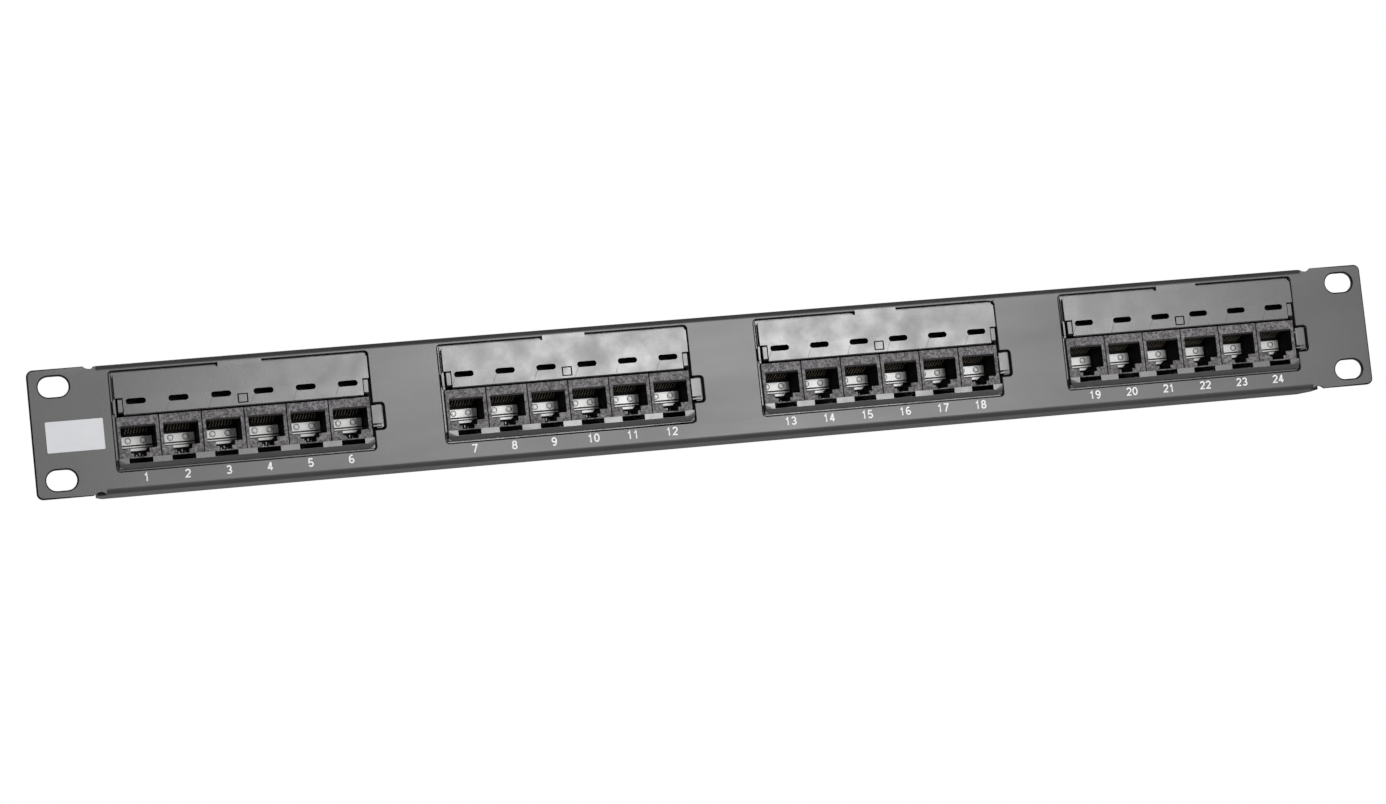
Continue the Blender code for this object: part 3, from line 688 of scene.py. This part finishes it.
def make_numbers(module):
    """The printed port numbers below each opening."""
    shape = bmesh.new()
    margin = (DIGIT_ADVANCE - DIGIT_WIDTH * DIGIT_HEIGHT) / 2
    for port in range(PORTS):
        label = str((module - 1) * PORTS + port + 1)
        x = module_x(module) + NUMBER_SHIFT + (port - 2.5) * NUMBER_PITCH
        for place, digit in enumerate(label):
            left = x + (place - len(label) / 2) * DIGIT_ADVANCE + margin
            for layer, stroke in enumerate(DIGITS[digit]):
                points = [(left + u * DIGIT_HEIGHT, DIGIT_BASE + v * DIGIT_HEIGHT) for u, v in stroke]
                face = FRONT - INK_FRONT - layer * INK_STEP
                add_stroke(shape, points, STROKE_HALF, face, FRONT - INK_BACK)
    piece = link(f"port_numbers_{module}", mesh_from(shape, "port_numbers"))
    dress(piece, INK)
    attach(piece, "panel")


def add_terminal(shape, x, side, middle, back):
    """One blade of a split terminal, above or below the strip's middle."""
    blade = [
        (x - BLADE_HALF, back - BLADE_FRONT),
        (x + BLADE_HALF, back - BLADE_FRONT),
        (x + BLADE_HALF, back - BLADE_SHOULDER),
        (x, back - BLADE_TIP),
        (x - BLADE_HALF, back - BLADE_SHOULDER),
    ]
    near = middle + side * BLADE_GAP
    far = middle + side * BLADE_REACH
    add_prism(shape, blade, min(near, far), max(near, far), "Z")


def make_strip(module, row):
    """A punch-down strip with split terminals in its slots."""
    node = f"idc_strip_{module}_{row}"
    low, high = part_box(node)
    name = f"punch_down_{module}_{row}"
    piece = link(name, mesh_from(node_shape(node), name))
    soften(piece, STRIP_BEVEL)
    dress(piece, STRIP_PLASTIC)
    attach(piece, "panel")
    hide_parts(node)
    shape = bmesh.new()
    centre = (low.x + high.x) / 2
    middle = (low.z + high.z) / 2
    for group in range(TERMINAL_GROUPS):
        for index in range(GROUP_TERMINALS):
            x = centre + (group - 1) * GROUP_PITCH + (index - 3.5) * TERMINAL_PITCH
            for side in (-1, 1):
                add_terminal(shape, x, side, middle, high.y)
    blades = link(f"terminals_{module}_{row}", mesh_from(shape, "terminals"))
    dress(blades, TINNED)
    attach(blades, "panel")


def make_frame(module):
    """A module frame, with painted shade at its rim and in the channel behind the flap's slots."""
    node = f"module_frame_{module}"
    piece = stand_in(node, f"frame_{module}", "panel", PLASTIC_BEVEL, FRAME_PLASTIC)
    piece.data.materials.append(SHADE_PLASTIC)
    middle = module_x(module) + SEAT_SHIFT
    for face in piece.data.polygons:
        place = face.center
        in_channel = within(place.y, CHANNEL_Y) and within(place.z, CHANNEL_Z)
        outer = abs(place.x - middle) > RIM_HALF or abs(place.z - RIM_MIDDLE_Z) > RIM_HALF_HEIGHT
        # painted shade in the gap around the module and in the channel behind the flap's slots
        if in_channel or (outer and within(place.y, RIM_Y)):
            face.material_index = 1


def make_flap(module):
    """A label flap with painted shade in the groove around its hook, and the fine knit lines that run down
    from its slots.
    """
    node, name, body = f"label_flap_{module}", f"flap_cover_{module}", f"flap_{module}"
    cover = stand_in(node, name, body, PLASTIC_BEVEL, FLAP_PLASTIC)
    cover.data.materials.append(SHADE_PLASTIC)
    middle = module_x(module) + SEAT_SHIFT
    for face in cover.data.polygons:
        place = face.center
        # painted shade on the groove walls around the hook
        near_hook = abs(place.x - middle) < GROOVE_HALF and within(place.z, GROOVE_Z)
        if near_hook and FLAP_FRONT + GROOVE_DEPTHS[0] < place.y < FLAP_FRONT + GROOVE_DEPTHS[1]:
            face.material_index = 1
    shape = bmesh.new()
    for port in range(PORTS):
        x = port_x(module, port)
        path = [(x - left * MM, z * MM) for left, z in KNIT_PATH]
        add_stroke(shape, path, KNIT_HALF, FLAP_FRONT - KNIT_RISE, FLAP_FRONT + KNIT_DEPTH)
    lines = link(f"knit_lines_{module}", mesh_from(shape, "knit_lines"))
    dress(lines, LINE_PLASTIC)
    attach(lines, body)


def make_latch(module):
    node, name, body = f"release_latch_{module}", f"latch_{module}_pad", f"latch_{module}"
    stand_in(node, name, body, PLASTIC_BEVEL, LATCH_PLASTIC)


def make_board(module):
    stand_in(f"circuit_board_{module}", f"board_{module}", "panel", BOARD_BEVEL, MASK)


def make_module(module, pattern):
    make_frame(module)
    make_flap(module)
    make_latch(module)
    make_board(module)
    for port in range(PORTS):
        make_housing(module, port, pattern)
    make_contacts(module)
    make_carriers(module)
    make_numbers(module)
    for row in ("upper", "lower"):
        make_strip(module, row)


# ----------------------------------------------------------------- stage

def area_light(name, location, target, size, power):
    light = bpy.data.lights.new(name, "AREA")
    light.shape = "RECTANGLE"
    light.size, light.size_y = size
    light.energy = power
    made = link(name, light)
    made.location = location
    made.rotation_euler = (Vector(target) - Vector(location)).to_track_quat("-Z", "Y").to_euler()


def make_floor():
    shape = bmesh.new()
    bmesh.ops.create_grid(shape, x_segments=1, y_segments=1, size=FLOOR_HALF)
    floor = link("studio_floor", mesh_from(shape, "studio_floor"))
    floor.location = (0, 0, FLOOR_Z)
    surface = Surface("studio_floor", (0.9, 0.9, 0.9), 0.9)
    dress(floor, surface.material)


def make_surroundings():
    """A white background that lights the object only faintly."""
    world = bpy.data.worlds.new("studio")
    world.use_nodes = True
    nodes, links = world.node_tree.nodes, world.node_tree.links
    nodes["Background"].inputs["Color"].default_value = (1, 1, 1, 1)
    ray = nodes.new("ShaderNodeLightPath")
    strength = nodes.new("ShaderNodeMapRange")
    strength.inputs["To Min"].default_value = AMBIENT
    strength.inputs["To Max"].default_value = 1.0
    links.new(ray.outputs["Is Camera Ray"], strength.inputs["Value"])
    links.new(strength.outputs["Result"], nodes["Background"].inputs["Strength"])
    bpy.context.scene.world = world


def make_lights():
    area_light("softbox", (0.49, -2.0, 0.2), (0.0, 0.0, 0.0), (0.6, 0.6), SOFTBOX)
    area_light("fill", (0.1, -2.4, 0.6), (0.0, 0.0, 0.0), (3.0, 1.8), FILL)
    area_light("rear", (-0.5, 1.6, 1.1), (0.0, 0.0, 0.0), (1.0, 0.6), REAR)
    area_light("overhead", (0.0, 0.2, 2.2), (0.0, 0.2, 0.0), (3.0, 3.0), OVERHEAD)


def make_camera():
    camera = bpy.data.cameras.new("camera")
    camera.sensor_width = SENSOR
    camera.lens = LENS
    camera.clip_start = 0.01
    made = link("camera", camera)
    turn = Euler([math.radians(angle) for angle in CAMERA_TURN], "XYZ").to_matrix()
    axes = Matrix(((1, 0, 0), (0, 0, -1), (0, 1, 0)))
    flip = Matrix(((1, 0, 0), (0, -1, 0), (0, 0, -1)))
    rotation = (turn @ axes).transposed() @ flip
    made.matrix_world = Matrix.Translation(CAMERA_PLACE) @ rotation.to_4x4()
    bpy.context.scene.camera = made


make_plate()
make_label()
jack_pattern = housing_mesh()
for module_number in MODULES:
    make_module(module_number, jack_pattern)
make_floor()
make_surroundings()
make_lights()
make_camera()
bpy.context.scene.view_settings.view_transform = "Standard"
